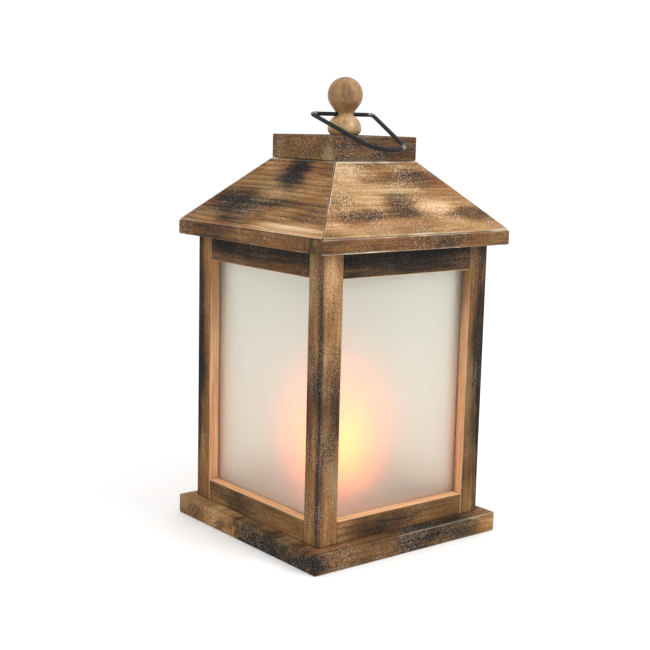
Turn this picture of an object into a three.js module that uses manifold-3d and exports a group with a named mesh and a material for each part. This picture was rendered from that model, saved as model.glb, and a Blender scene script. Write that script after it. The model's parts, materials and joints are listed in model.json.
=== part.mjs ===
// A square wooden lantern with a hipped roof, four frosted panes, a turned finial that carries a
// wire bail, and a battery flame lamp let into the base from below.
// Millimetres, +Z up, the origin on the underside of the base board at its middle.
// The front is the -Y side, and the bail lies forward over it.
import * as THREE from "three";
import { ConvexGeometry } from "three/addons/geometries/ConvexGeometry.js";
import { mergeVertices } from "three/addons/utils/BufferGeometryUtils.js";
import Module from "manifold-3d";

const wasm = await Module();
wasm.setup();

// ---- Driving dimensions ----

const GAP = 0.3; // glue line, or the slack between pieces that touch

const BASE = { side: 171, thickness: 14.5 };
const BODY = { side: 151, height: 201.5 };
const POST_SIDE = 16.5;
const RAIL = { bottomHeight: 16.4, topHeight: 17.9 };
const PANE = { thickness: 2.5, setBack: 8, bottomHold: 3.5, topHold: 4.5, sideHold: 3.5 };
const EAVE = { side: 173, thickness: 10.6, stripWidth: 19 };
const ROOF = { rise: 47.6, topSide: 75.6, boardThickness: 8 };
const CAP = { side: 74.6, thickness: 17.2 };

// Heights are over the cap block's top.
const FINIAL = {
  ballRadius: 12.8,
  ballHeight: 28.9,
  ballTaperStart: -38,
  neckRadius: 6.4,
  neckLow: 15,
  neckHigh: 16.1,
  domeRadius: 12.3,
  domeHeight: 4.5,
  domeRise: 11.5,
  domeTuck: 7,
};
const BAIL = {
  wireRadius: 1.5,
  holeRadius: 2,
  pivotHeight: 15.05, // over the cap block
  turn: -11.7, // degrees about +Z from the X axis to the hole's axis
  slide: -2.2, // how far the wire has slid along the hole
  restDrop: 17.4, // degrees below level, where a leg lies on the cap block's edge
  pivotHalf: 25,
  endHalf: 12.8,
  reach: 77.5,
  pivotCorner: 3.5,
  endCorner: 12.4,
  endsApart: 0.8, // the wire's two ends face each other inside the finial
};

const HOUSING = {
  halfX: 38,
  halfY: 28,
  bottom: 1,
  top: 27,
  flangeHalfX: 45,
  flangeHalfY: 35,
  flangeThickness: 2.4,
  wall: 3,
  webBottom: 19,
  webTop: 21,
  lidThickness: 2,
};
const CELL = { radius: 7.1, bodyLength: 49, nubRadius: 2.7, nubLength: 1, pitch: 14.9, height: 11.5 };
const POCKET = { left: -33, right: 23, halfY: 22.7 }; // for three cells, lying along X
const CONTACT = { thickness: 0.5, bottom: 5, top: 18 };
const SPRING = { wireRadius: 0.4, wide: 4.4, narrow: 2.4, turns: 3 };
const DOOR = { bottom: 1.2, thickness: 2, hingeY: -24, freeY: 24.4, overlap: 1.7, pinRadius: 0.9 };
const SWITCH = { x: 31, halfX: 1.7, halfY: 2.4, slotHalfY: 7, travel: 4, foot: 3 };
const LAMP = {
  collarRadius: 19,
  collarHeight: 6.4,
  columnRadius: 6.5,
  columnTop: 88,
  widest: 24,
  foot: 12,
  wall: 1.2,
  bottom: 30.9,
  top: 118,
};
const BOARD = { halfX: 20, halfY: 15, bottom: 22.3, thickness: 1.6 };
const LEAD_RADIUS = 0.6;
const BASE_SCREW = { headRadius: 3.9, shankRadius: 2, length: 32, sink: 0.8 };
const FLANGE_SCREW = { headRadius: 2.7, shankRadius: 1.4, length: 9.5, sink: 0.2 };
const FINIAL_SCREW = { headRadius: 4.2, shankRadius: 2, length: 22, sink: 3 };

// ---- Levels and lines worked out from them ----

const bodyBottom = BASE.thickness;
const bodyTop = bodyBottom + BODY.height;
const eaveTop = bodyTop + EAVE.thickness;
const roofTop = eaveTop + ROOF.rise;
const capTop = roofTop + CAP.thickness;
const pivotZ = capTop + BAIL.pivotHeight;
const bodyHalf = BODY.side / 2;
const postInner = bodyHalf - POST_SIDE;
const postMiddle = bodyHalf - POST_SIDE / 2;
const paneOuter = bodyHalf - PANE.setBack;
const paneInner = paneOuter - PANE.thickness;
const windowBottom = bodyBottom + RAIL.bottomHeight;
const windowTop = bodyTop - RAIL.topHeight;
const flangeTop = HOUSING.bottom + HOUSING.flangeThickness;
const lidBottom = HOUSING.top + GAP;
const lidTop = lidBottom + HOUSING.lidThickness;
const doorMiddle = DOOR.bottom + DOOR.thickness / 2;

// ---- Colours ----

const stainedWood = { color: 0x8a5f3a, roughness: 0.75, metalness: 0 };
const clearWood = { color: 0xb98a5a, roughness: 0.6, metalness: 0 };
const frosted = { color: 0xdcdccf, roughness: 0.6, metalness: 0 };
const blackWire = { color: 0x1d1d1f, roughness: 0.45, metalness: 0.6 };
const blackPlastic = { color: 0x222222, roughness: 0.6, metalness: 0 };
const whitePlastic = { color: 0xe9e6dd, roughness: 0.5, metalness: 0 };
const steel = { color: 0xa0a09c, roughness: 0.35, metalness: 1 };
const boardGreen = { color: 0x1f6b3a, roughness: 0.5, metalness: 0 };
const cellSleeve = { color: 0x4b5966, roughness: 0.4, metalness: 0.2 };
const redLead = { color: 0xa02020, roughness: 0.5, metalness: 0 };
const glowing = { color: 0xffe08a, roughness: 0.5, metalness: 0 };

// ---- Shapes ----

function block(x0, x1, y0, y1, z0, z1) {
  const made = new THREE.BoxGeometry(x1 - x0, y1 - y0, z1 - z0);
  return made.translate((x0 + x1) / 2, (y0 + y1) / 2, (z0 + z1) / 2);
}

// A round bar along X, Y or Z from one coordinate to another, through the point (a, b) of the
// other two axes in X, Y, Z order.
function bar(axis, radius, from, to, a, b, sides = 16) {
  const made = new THREE.CylinderGeometry(radius, radius, to - from, sides);
  const middle = (from + to) / 2;
  if (axis === "x") return made.rotateZ(Math.PI / 2).translate(middle, a, b);
  if (axis === "y") return made.translate(a, middle, b);
  return made.rotateX(Math.PI / 2).translate(a, b, middle);
}

// A turned shape about Z, from [radius, height] pairs that run from the bottom outwards and up.
function turned(profile, sides = 24) {
  const points = profile.map(([radius, height]) => new THREE.Vector2(radius, height));
  return new THREE.LatheGeometry(points, sides).rotateX(Math.PI / 2);
}

// A countersunk screw, head down at z, with a pointed end.
function screw(spec, x, y, z) {
  const headHeight = spec.headRadius - spec.shankRadius;
  const profile = [
    [0, 0],
    [spec.headRadius, 0],
    [spec.headRadius, 0.4],
    [spec.shankRadius, 0.4 + headHeight],
    [spec.shankRadius, spec.length - 3],
    [0, spec.length],
  ];
  return turned(profile, 12).translate(x, y, z);
}

// The hole for such a screw, with its countersink open downwards to the level `open`.
function screwHole(spec, x, y, z, open) {
  const headHeight = spec.headRadius - spec.shankRadius;
  const profile = [
    [0, open - z],
    [spec.headRadius + GAP, open - z],
    [spec.headRadius + GAP, 0.4 + GAP / 2],
    [spec.shankRadius + GAP, 0.4 + GAP / 2 + headHeight],
    [spec.shankRadius + GAP, spec.length + GAP],
    [0, spec.length + GAP],
  ];
  return turned(profile, 12).translate(x, y, z);
}

// A round wire along a curve.
function wire(curve, radius, steps, sides) {
  const section = new THREE.Shape();
  section.absarc(0, 0, radius, 0, Math.PI * 2, false);
  const flat = new THREE.Shape(section.getPoints(sides).slice(0, sides));
  return new THREE.ExtrudeGeometry(flat, { extrudePath: curve, steps, curveSegments: 1 });
}

// ---- Cutting and joining ----

function solidOf(geometry) {
  const bare = geometry.clone();
  bare.deleteAttribute("normal");
  bare.deleteAttribute("uv");
  const merged = mergeVertices(bare, 1e-3);
  const vertProperties = new Float32Array(merged.attributes.position.array);
  const triVerts = new Uint32Array(merged.index.array);
  return new wasm.Manifold(new wasm.Mesh({ numProp: 3, vertProperties, triVerts }));
}

function geometryOf(solid) {
  const mesh = solid.getMesh();
  const made = new THREE.BufferGeometry();
  made.setAttribute("position", new THREE.BufferAttribute(mesh.vertProperties, 3));
  made.setIndex(new THREE.BufferAttribute(mesh.triVerts, 1));
  const flat = made.toNonIndexed();
  flat.computeVertexNormals();
  return flat;
}

function cut(body, ...tools) {
  const left = tools.reduce((rest, tool) => rest.subtract(solidOf(tool)), solidOf(body));
  return geometryOf(left);
}

function join(body, ...others) {
  const whole = others.reduce((sum, other) => sum.add(solidOf(other)), solidOf(body));
  return geometryOf(whole);
}

// ---- Putting pieces in the lantern ----

const lantern = new THREE.Group();
lantern.name = "lantern";
const SIDES = ["front", "right", "back", "left"];
const CORNERS = ["front_left", "front_right", "back_right", "back_left"];

function add(name, geometry, finish, parent = lantern) {
  const mesh = new THREE.Mesh(geometry, new THREE.MeshStandardMaterial(finish));
  mesh.name = name;
  parent.add(mesh);
}

// The same piece on each of the four sides or corners: it is drawn for the front side, or for
// the front left corner, and each copy's group is turned about Z.
function addAround(prefix, names, geometry, finish) {
  names.forEach((name, quarter) => {
    const turnedGroup = new THREE.Group();
    turnedGroup.rotation.z = (quarter * Math.PI) / 2;
    lantern.add(turnedGroup);
    add(`${prefix}_${name}`, geometry, finish, turnedGroup);
  });
}

// ---- The wooden case ----

const screwSpots = [-1, 1].flatMap((sx) => [-1, 1].map((sy) => [sx, sy]));
const flangeScrewX = (HOUSING.halfX + HOUSING.flangeHalfX) / 2;
const flangeScrewY = (HOUSING.halfY + HOUSING.flangeHalfY) / 2;

function baseBoard() {
  const half = BASE.side / 2;
  const slack = GAP + 0.2;
  const openX = HOUSING.halfX + slack;
  const openY = HOUSING.halfY + slack;
  const rebateX = HOUSING.flangeHalfX + slack;
  const rebateY = HOUSING.flangeHalfY + slack;
  return cut(
    block(-half, half, -half, half, 0, BASE.thickness),
    block(-openX, openX, -openY, openY, -1, BASE.thickness + 1),
    block(-rebateX, rebateX, -rebateY, rebateY, -1, flangeTop + GAP),
    ...screwSpots.map(([sx, sy]) =>
      screwHole(BASE_SCREW, sx * postMiddle, sy * postMiddle, BASE_SCREW.sink, -1),
    ),
    ...screwSpots.map(([sx, sy]) =>
      bar("z", FLANGE_SCREW.shankRadius + GAP, 0, HOUSING.bottom + FLANGE_SCREW.length + 1,
        sx * flangeScrewX, sy * flangeScrewY),
    ),
  );
}

// A square post with a groove for the pane on each of its two inner sides and a pilot hole for
// the screw that comes up through the base board. This is the front left one.
function cornerPost() {
  const bottom = bodyBottom + GAP;
  const top = bodyTop - GAP;
  const grooveEnd = -(postInner + PANE.sideHold + GAP);
  const grooveOut = -(paneOuter + GAP);
  const grooveIn = -(paneInner - GAP);
  return cut(
    block(-bodyHalf, -postInner, -bodyHalf, -postInner, bottom, top),
    block(grooveEnd, -postInner + 1, grooveOut, grooveIn, bottom - 1, top + 1),
    block(grooveOut, grooveIn, grooveEnd, -postInner + 1, bottom - 1, top + 1),
    bar("z", BASE_SCREW.shankRadius + GAP, 0, BASE_SCREW.length + 2, -postMiddle, -postMiddle),
  );
}

// A rail between two posts, grooved along one edge for the pane. This is the front one.
function rail(bottom, top, grooveBottom, grooveTop) {
  const half = postInner - GAP;
  return cut(
    block(-half, half, -bodyHalf, -postInner, bottom, top),
    block(-half - 1, half + 1, -(paneOuter + GAP), -(paneInner - GAP), grooveBottom, grooveTop),
  );
}

function bottomRail() {
  const grooveBottom = windowBottom - PANE.bottomHold - GAP;
  return rail(bodyBottom + GAP, windowBottom, grooveBottom, windowBottom + 1);
}

function topRail() {
  const grooveTop = windowTop + PANE.topHold + GAP;
  return rail(windowTop, bodyTop - GAP, windowTop - 1, grooveTop);
}

function pane() {
  const half = postInner + PANE.sideHold;
  const bottom = windowBottom - PANE.bottomHold;
  return block(-half, half, -paneOuter, -paneInner, bottom, windowTop + PANE.topHold);
}

// The front and back strips run the full width, and the side strips butt between them.
function eaveStrip(half) {
  const outer = EAVE.side / 2;
  return block(-half, half, -outer, -outer + EAVE.stripWidth, bodyTop, eaveTop - GAP);
}

// A sloping board, level at its foot and head, mitred to its neighbours along the hips.
function roofBoard() {
  const outerFoot = EAVE.side / 2;
  const outerHead = ROOF.topSide / 2;
  const slope = Math.atan2(ROOF.rise, outerFoot - outerHead);
  const levelThickness = ROOF.boardThickness / Math.sin(slope);
  const corners = [];
  for (const [distance, z] of [
    [outerFoot, eaveTop],
    [outerHead, roofTop - GAP],
    [outerFoot - levelThickness, eaveTop],
    [outerHead - levelThickness, roofTop - GAP],
  ])
    for (const side of [-1, 1])
      corners.push(new THREE.Vector3(side * (distance - GAP), -distance, z));
  return new ConvexGeometry(corners);
}

function capBlock() {
  const half = CAP.side / 2;
  return cut(
    block(-half, half, -half, half, roofTop, capTop),
    screwHole(FINIAL_SCREW, 0, 0, roofTop + FINIAL_SCREW.sink, roofTop - 1),
  );
}

// ---- The finial and the bail ----

function finial() {
  const f = FINIAL;
  const floor = GAP;
  const profile = [[0, floor]];
  const tuckAngle = Math.asin((f.domeHeight - floor) / f.domeTuck);
  for (let i = 0; i <= 3; i++) {
    const angle = -tuckAngle * (1 - i / 3);
    profile.push([f.domeRadius * Math.cos(angle), f.domeHeight + f.domeTuck * Math.sin(angle)]);
  }
  const neckAngle = Math.acos(f.neckRadius / f.domeRadius);
  for (let i = 1; i <= 5; i++) {
    const angle = (neckAngle * i) / 5;
    profile.push([f.domeRadius * Math.cos(angle), f.domeHeight + f.domeRise * Math.sin(angle)]);
  }
  profile.push([f.neckRadius, f.neckLow], [f.neckRadius, f.neckHigh]);
  const start = THREE.MathUtils.degToRad(f.ballTaperStart);
  for (let i = 0; i <= 9; i++) {
    const angle = start + ((Math.PI / 2 - start) * i) / 9;
    const radius = i === 9 ? 0 : f.ballRadius * Math.cos(angle);
    profile.push([radius, f.ballHeight + f.ballRadius * Math.sin(angle)]);
  }
  const screwTip = FINIAL_SCREW.sink + FINIAL_SCREW.length - CAP.thickness;
  const bored = cut(
    turned(profile, 32),
    bar("x", BAIL.holeRadius, -15, 15, 0, BAIL.pivotHeight),
    bar("z", FINIAL_SCREW.shankRadius + GAP, -1, screwTip + 1, 0, 0),
  );
  return bored.rotateZ(THREE.MathUtils.degToRad(BAIL.turn)).translate(0, 0, capTop);
}

// One bent wire. It starts and ends in the finial's cross hole, and its outline, drawn in
// its own plane, is a straight pivot side, two converging legs and a rounded end.
function bailRing() {
  const { pivotHalf, endHalf, reach, pivotCorner, endCorner, endsApart } = BAIL;
  const leg = new THREE.Vector2(endHalf - pivotHalf, reach).normalize();
  const halfOutline = [
    new THREE.Vector2(endsApart / 2, 0),
    new THREE.Vector2(pivotHalf, 0),
    new THREE.Vector2(endHalf, reach),
    new THREE.Vector2(0, reach),
  ];
  const [start, pivotBend, endBend, middle] = halfOutline;
  const onLeg = (corner, distance) => corner.clone().addScaledVector(leg, distance);
  const pieces = [
    [start, new THREE.Vector2(pivotHalf - pivotCorner, 0)],
    [new THREE.Vector2(pivotHalf - pivotCorner, 0), pivotBend, onLeg(pivotBend, pivotCorner)],
    [onLeg(pivotBend, pivotCorner), onLeg(endBend, -endCorner)],
    [onLeg(endBend, -endCorner), endBend, new THREE.Vector2(endHalf - endCorner, reach)],
    [new THREE.Vector2(endHalf - endCorner, reach), middle],
  ];
  const mirrored = pieces
    .map((piece) => piece.map((p) => new THREE.Vector2(-p.x, p.y)).reverse())
    .reverse();
  const outline = [...pieces, ...mirrored].flatMap((piece) =>
    piece.length === 2 ? straight(...piece) : new THREE.QuadraticBezierCurve(...piece).getPoints(8),
  );
  const points = outline
    .filter((p, i) => i === 0 || p.distanceTo(outline[i - 1]) > 1e-6)
    .map((p) => new THREE.Vector3(p.x, -p.y, 0));
  const curve = new THREE.CatmullRomCurve3(points, false, "centripetal");
  return wire(curve, BAIL.wireRadius, 100, 8)
    .translate(BAIL.slide, 0, 0)
    .rotateX(THREE.MathUtils.degToRad(BAIL.restDrop))
    .rotateZ(THREE.MathUtils.degToRad(BAIL.turn))
    .translate(0, 0, pivotZ);
}

function straight(from, to) {
  const count = Math.max(2, Math.round(from.distanceTo(to) / 4));
  return Array.from({ length: count + 1 }, (_, i) => from.clone().lerp(to, i / count));
}

// ---- The battery lamp ----

const doorLeft = POCKET.left - DOOR.overlap;
const doorRight = POCKET.right + DOOR.overlap;
const doorPinLength = 1.4;

// One moulding: a flange under the base board, a cell pocket open downwards, a bay for the
// switch and a shallow tray above for the circuit board.
function lightHousing() {
  const h = HOUSING;
  const trayX = h.halfX - h.wall;
  const trayY = h.halfY - h.wall;
  const slack = 0.4;
  const bayX = SWITCH.foot + 1;
  const moulding = cut(
    join(
      block(-h.halfX, h.halfX, -h.halfY, h.halfY, h.bottom, h.top),
      block(-h.flangeHalfX, h.flangeHalfX, -h.flangeHalfY, h.flangeHalfY, h.bottom, flangeTop),
    ),
    block(POCKET.left, POCKET.right, -POCKET.halfY, POCKET.halfY, 0, h.webBottom),
    block(doorLeft - slack, doorRight + slack, DOOR.hingeY - 1.6, DOOR.freeY + 2.2, 0, 3.8),
    bar("x", DOOR.pinRadius + slack, doorLeft - doorPinLength - slack,
      doorRight + doorPinLength + slack, DOOR.hingeY, doorMiddle, 16),
    block(-trayX, trayX, -trayY, trayY, h.webTop, h.top + 1),
    block(SWITCH.x - SWITCH.halfX - slack, SWITCH.x + SWITCH.halfX + slack,
      -SWITCH.slotHalfY, SWITCH.slotHalfY, 0, h.webTop),
    block(SWITCH.x - bayX, SWITCH.x + bayX, -10, 10, 5, h.webTop + 1),
    ...LEADS.map(({ points: [[x, y]] }) => bar("z", LEAD_RADIUS + slack, 15, 24, x, y, 12)),
    ...screwSpots.map(([sx, sy]) =>
      screwHole(FLANGE_SCREW, sx * flangeScrewX, sy * flangeScrewY,
        h.bottom + FLANGE_SCREW.sink, 0),
    ),
  );
  const standoffs = screwSpots.map(([sx, sy]) =>
    bar("z", 2, h.webTop - 1, BOARD.bottom - GAP, sx * (BOARD.halfX - 3), sy * (BOARD.halfY - 3), 10),
  );
  return join(moulding, ...standoffs);
}

function housingLid() {
  const { halfX, halfY } = HOUSING;
  return cut(
    block(-halfX, halfX, -halfY, halfY, lidBottom, lidTop),
    bar("z", LAMP.columnRadius + 1.5, lidBottom - 1, lidTop + 1, 0, 0, 20),
  );
}

// A flat door with a rounded hinge edge, a pin at each end of it and a finger tongue opposite.
function batteryDoor() {
  const top = DOOR.bottom + DOOR.thickness;
  return join(
    block(doorLeft, doorRight, DOOR.hingeY, DOOR.freeY, DOOR.bottom, top),
    bar("x", DOOR.thickness / 2, doorLeft, doorRight, DOOR.hingeY, doorMiddle, 16),
    bar("x", DOOR.pinRadius, doorLeft - doorPinLength, doorRight + doorPinLength,
      DOOR.hingeY, doorMiddle, 16),
    block(-11, 1, DOOR.freeY - 1, DOOR.freeY + 1.6, DOOR.bottom, top - 0.5),
  );
}

const contactLeft = POCKET.left + GAP;
const contactRight = POCKET.right - GAP;

// Cells 1 and 3 point right and cell 2 points left, so they stand in series.
function cell(index) {
  const { radius, bodyLength, nubRadius, nubLength, pitch, height } = CELL;
  const profile = [
    [0, 0],
    [radius - 0.6, 0],
    [radius, 0.6],
    [radius, bodyLength - 0.6],
    [radius - 0.6, bodyLength],
    [nubRadius, bodyLength],
    [nubRadius, bodyLength + nubLength],
    [0, bodyLength + nubLength],
  ];
  const pointsRight = index !== 1;
  const nubEnd = pointsRight
    ? contactRight - CONTACT.thickness - GAP
    : contactLeft + CONTACT.thickness + GAP;
  const made = turned(profile, 20).translate(0, 0, -bodyLength - nubLength);
  return made
    .rotateY(pointsRight ? Math.PI / 2 : -Math.PI / 2)
    .translate(nubEnd, (index - 1) * pitch, height);
}

function cellSpring(index) {
  const atLeft = index !== 1;
  const plate = atLeft ? contactLeft + CONTACT.thickness : contactRight - CONTACT.thickness;
  const inward = atLeft ? 1 : -1;
  const plates = contactRight - contactLeft - 2 * CONTACT.thickness;
  const room = plates - CELL.bodyLength - CELL.nubLength - GAP;
  const { wireRadius, wide, narrow, turns } = SPRING;
  const travel = room - 2 * GAP - 2 * wireRadius;
  const points = [];
  for (let i = 0; i <= turns * 12; i++) {
    const share = i / (turns * 12);
    const angle = share * turns * 2 * Math.PI;
    const radius = wide + (narrow - wide) * share;
    points.push(new THREE.Vector3(
      plate + inward * (GAP + wireRadius + travel * share),
      (index - 1) * CELL.pitch + radius * Math.cos(angle),
      CELL.height + radius * Math.sin(angle),
    ));
  }
  return wire(new THREE.CatmullRomCurve3(points), wireRadius, turns * 10, 5);
}

// A contact plate against one end wall of the pocket, spanning the cells from one to another.
function contactPlate(atLeft, firstCell, lastCell) {
  const x = atLeft ? contactLeft : contactRight - CONTACT.thickness;
  const reach = CELL.pitch / 2 - 0.8;
  const y0 = (firstCell - 1) * CELL.pitch - reach;
  const y1 = (lastCell - 1) * CELL.pitch + reach;
  return block(x, x + CONTACT.thickness, y0, y1, CONTACT.bottom, CONTACT.top);
}

const leadEndZ = BOARD.bottom + BOARD.thickness + GAP + LEAD_RADIUS;
// Each lead rises from a contact plate, or from the switch, through the web and bends over onto
// the circuit board.
const LEADS = [
  {
    name: "lead_negative",
    finish: blackPlastic,
    points: [[-31.3, -21.4], [-24, -17, 25.4], [-17, -12, leadEndZ]],
    foot: 16.5,
  },
  {
    name: "lead_positive",
    finish: redLead,
    points: [[21.3, 21.4], [19.8, 17.5, 25.4], [16.5, 12.5, leadEndZ]],
    foot: 16.5,
  },
  {
    name: "lead_switch",
    finish: redLead,
    points: [[31, 5], [24.5, 3.5, 25.4], [17.5, 2.5, leadEndZ]],
    foot: 18,
  },
];

function lead({ points: [[x, y], bend, end], foot }) {
  const curve = new THREE.CatmullRomCurve3([
    new THREE.Vector3(x, y, foot),
    new THREE.Vector3(x, y, foot + 3),
    new THREE.Vector3(x, y, 23.4),
    new THREE.Vector3(...bend),
    new THREE.Vector3(...end),
  ], false, "centripetal");
  return wire(curve, LEAD_RADIUS, 12, 6);
}

function driverBoard() {
  const { halfX, halfY, bottom, thickness } = BOARD;
  return block(-halfX, halfX, -halfY, halfY, bottom, bottom + thickness);
}

// The switch's metal case, open downwards, with its knob's foot running inside it.
function switchBody() {
  const x = SWITCH.x;
  return cut(
    block(x - 3.7, x + 3.7, -9.6, 9.6, 5.3, 17.4),
    block(x - SWITCH.foot - GAP, x + SWITCH.foot + GAP, -8.6, 8.6, 4, 12),
  );
}

function switchKnob() {
  const x = SWITCH.x;
  return join(
    block(x - SWITCH.halfX, x + SWITCH.halfX, -SWITCH.halfY, SWITCH.halfY, 0.6, 8),
    block(x - SWITCH.foot, x + SWITCH.foot, -4, 4, 7, 10),
  ).translate(0, SWITCH.travel / 2, 0);
}

// A white post with rows of light-emitting diodes round it.
function ledColumn() {
  const r = LAMP.columnRadius;
  const bottom = BOARD.bottom + BOARD.thickness + GAP;
  const chips = [];
  for (let row = 0; row < 6; row++)
    for (let column = 0; column < 5; column++) {
      const chip = block(r - 1, r + 0.7, -1.1, 1.1, -1.4, 1.4);
      chips.push(chip.rotateZ(((column + row / 2) * 2 * Math.PI) / 5).translate(0, 0, 38 + row * 8));
    }
  return join(bar("z", r, bottom, LAMP.columnTop, 0, 0, 20), ...chips);
}

function lampCollar() {
  const r = LAMP.collarRadius;
  const bottom = lidTop + GAP;
  const inner = LAMP.foot + 0.4;
  return turned([
    [9, bottom],
    [r, bottom],
    [r, bottom + 1.2],
    [r - 3, bottom + LAMP.collarHeight],
    [inner, bottom + LAMP.collarHeight],
    [inner, bottom + 1],
    [9, bottom + 1],
    [9, bottom],
  ], 32);
}

// A thin shell shaped like a candle flame, open at its foot. It swells only above the collar.
function flameDiffuser() {
  const { bottom, top, foot, widest, wall } = LAMP;
  const height = top - bottom;
  const steps = 12;
  const free = (lidTop + GAP + LAMP.collarHeight - bottom) / height;
  const radiusAt = (share) => {
    const swell = Math.sin(Math.PI * Math.min(1, Math.max(0, share - free) / 0.5) * 0.5);
    const taper = Math.sqrt(Math.max(0, 1 - Math.pow(Math.max(0, share - 0.3) / 0.7, 2)));
    return (foot + (widest - foot) * swell) * taper;
  };
  const shares = [0];
  for (let i = 0; i <= steps; i++)
    shares.push(free + (1 - free) * (1 - Math.pow(1 - i / steps, 1.4)));
  const outer = [];
  const inner = [];
  for (const share of shares) {
    const atTip = share > 0.999999;
    const z = bottom + height * share;
    outer.push([atTip ? 0 : radiusAt(share), z]);
    inner.push([atTip ? 0 : Math.max(0.4, radiusAt(share) - wall), z - wall * share]);
  }
  return turned([...outer, ...inner.reverse(), outer[0]]);
}

// ---- Assembly ----

add("base_board", baseBoard(), stainedWood);
addAround("corner_post", CORNERS, cornerPost(), stainedWood);
addAround("bottom_rail", SIDES, bottomRail(), stainedWood);
addAround("top_rail", SIDES, topRail(), stainedWood);
addAround("pane", SIDES, pane(), frosted);

const longStrip = eaveStrip(EAVE.side / 2);
const shortStrip = eaveStrip(EAVE.side / 2 - EAVE.stripWidth - GAP);
SIDES.forEach((name, quarter) => {
  const group = new THREE.Group();
  group.rotation.z = (quarter * Math.PI) / 2;
  lantern.add(group);
  add(`eave_strip_${name}`, quarter % 2 ? shortStrip : longStrip, stainedWood, group);
});
addAround("roof_board", SIDES, roofBoard(), stainedWood);
add("cap_block", capBlock(), stainedWood);
add("finial", finial(), clearWood);
add("bail_ring", bailRing(), blackWire);

add("light_housing", lightHousing(), blackPlastic);
add("housing_lid", housingLid(), blackPlastic);
add("battery_door", batteryDoor(), blackPlastic);
for (let index = 0; index < 3; index++) {
  add(`battery_cell_${index + 1}`, cell(index), cellSleeve);
  add(`battery_spring_${index + 1}`, cellSpring(index), steel);
}
add("contact_plate_left_single", contactPlate(true, 0, 0), steel);
add("contact_plate_left_pair", contactPlate(true, 1, 2), steel);
add("contact_plate_right_pair", contactPlate(false, 0, 1), steel);
add("contact_plate_right_single", contactPlate(false, 2, 2), steel);
add("driver_board", driverBoard(), boardGreen);
for (const spec of LEADS) add(spec.name, lead(spec), spec.finish);
add("switch_body", switchBody(), steel);
add("switch_knob", switchKnob(), blackPlastic);
add("led_column", ledColumn(), whitePlastic);
add("lamp_collar", lampCollar(), whitePlastic);
add("flame_diffuser", flameDiffuser(), glowing);

screwSpots.forEach(([sx, sy], i) => {
  const post = screw(BASE_SCREW, sx * postMiddle, sy * postMiddle, BASE_SCREW.sink);
  add(`base_screw_${i + 1}`, post, steel);
});
screwSpots.forEach(([sx, sy], i) => {
  const z = HOUSING.bottom + FLANGE_SCREW.sink;
  const flange = screw(FLANGE_SCREW, sx * flangeScrewX, sy * flangeScrewY, z);
  add(`flange_screw_${i + 1}`, flange, steel);
});
add("finial_screw", screw(FINIAL_SCREW, 0, 0, roofTop + FINIAL_SCREW.sink), steel);

export default lantern;
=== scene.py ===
import json
import math

import bmesh
import bpy
from mathutils import Euler, Matrix, Vector


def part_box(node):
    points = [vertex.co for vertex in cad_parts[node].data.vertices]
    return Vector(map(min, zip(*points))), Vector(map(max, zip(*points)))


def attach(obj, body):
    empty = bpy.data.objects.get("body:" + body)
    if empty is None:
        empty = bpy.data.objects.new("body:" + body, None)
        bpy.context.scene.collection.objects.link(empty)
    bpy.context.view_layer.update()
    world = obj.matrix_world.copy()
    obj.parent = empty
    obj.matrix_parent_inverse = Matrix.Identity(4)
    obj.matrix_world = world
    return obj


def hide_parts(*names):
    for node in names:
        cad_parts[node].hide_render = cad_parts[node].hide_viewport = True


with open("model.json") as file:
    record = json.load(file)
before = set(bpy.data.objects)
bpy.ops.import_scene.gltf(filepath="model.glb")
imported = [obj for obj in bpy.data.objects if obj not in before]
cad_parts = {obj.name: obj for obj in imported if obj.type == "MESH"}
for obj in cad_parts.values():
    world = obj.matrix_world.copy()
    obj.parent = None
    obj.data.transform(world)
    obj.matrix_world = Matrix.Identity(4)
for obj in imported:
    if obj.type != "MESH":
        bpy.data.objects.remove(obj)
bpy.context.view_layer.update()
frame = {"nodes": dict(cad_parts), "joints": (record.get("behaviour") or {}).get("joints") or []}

# ---------------------------------------------------------------------------------------------
# Camera. It stands a little above the eaves, in front of the lantern's front left post, and
# looks slightly down on the roof. The small extra turn levels it as a hand-held camera was.
# ---------------------------------------------------------------------------------------------

view_azimuth = math.radians(39.30)
view_elevation = math.radians(9.47)
view_distance = 0.9263
view_target = Vector((0, 0, 0.150))
view_turn = Euler([math.radians(angle) for angle in (-0.086, -0.658, -1.487)], "XYZ")

towards_camera = Vector((
    -math.sin(view_azimuth) * math.cos(view_elevation),
    -math.cos(view_azimuth) * math.cos(view_elevation),
    math.sin(view_elevation),
))
camera_data = bpy.data.cameras.new("camera")
camera_data.sensor_width = 36
camera_data.lens = 68.88
camera = bpy.data.objects.new("camera", camera_data)
bpy.context.scene.collection.objects.link(camera)
level = (-towards_camera).to_track_quat("-Z", "Y").to_matrix()
camera.matrix_world = (
    Matrix.Translation(view_target + view_distance * towards_camera)
    @ (level @ view_turn.to_matrix().transposed()).to_4x4()
)
bpy.context.scene.camera = camera

# ---------------------------------------------------------------------------------------------
# Studio. A white sweep of floor, an even white surround, a large soft key light at the front
# right and a weaker fill at the left.
# ---------------------------------------------------------------------------------------------

surround = bpy.data.worlds.new("surround")
surround.use_nodes = True
surround.node_tree.nodes["Background"].inputs["Color"].default_value = (1, 1, 1, 1)
surround.node_tree.nodes["Background"].inputs["Strength"].default_value = 1.04
bpy.context.scene.world = surround
bpy.context.scene.view_settings.view_transform = "Standard"


def soft_light(name, place, size, power):
    data = bpy.data.lights.new(name, "AREA")
    data.size = size
    data.energy = power
    light = bpy.data.objects.new(name, data)
    bpy.context.scene.collection.objects.link(light)
    light.location = place
    light.rotation_euler = (view_target - Vector(place)).to_track_quat("-Z", "Y").to_euler()


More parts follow.
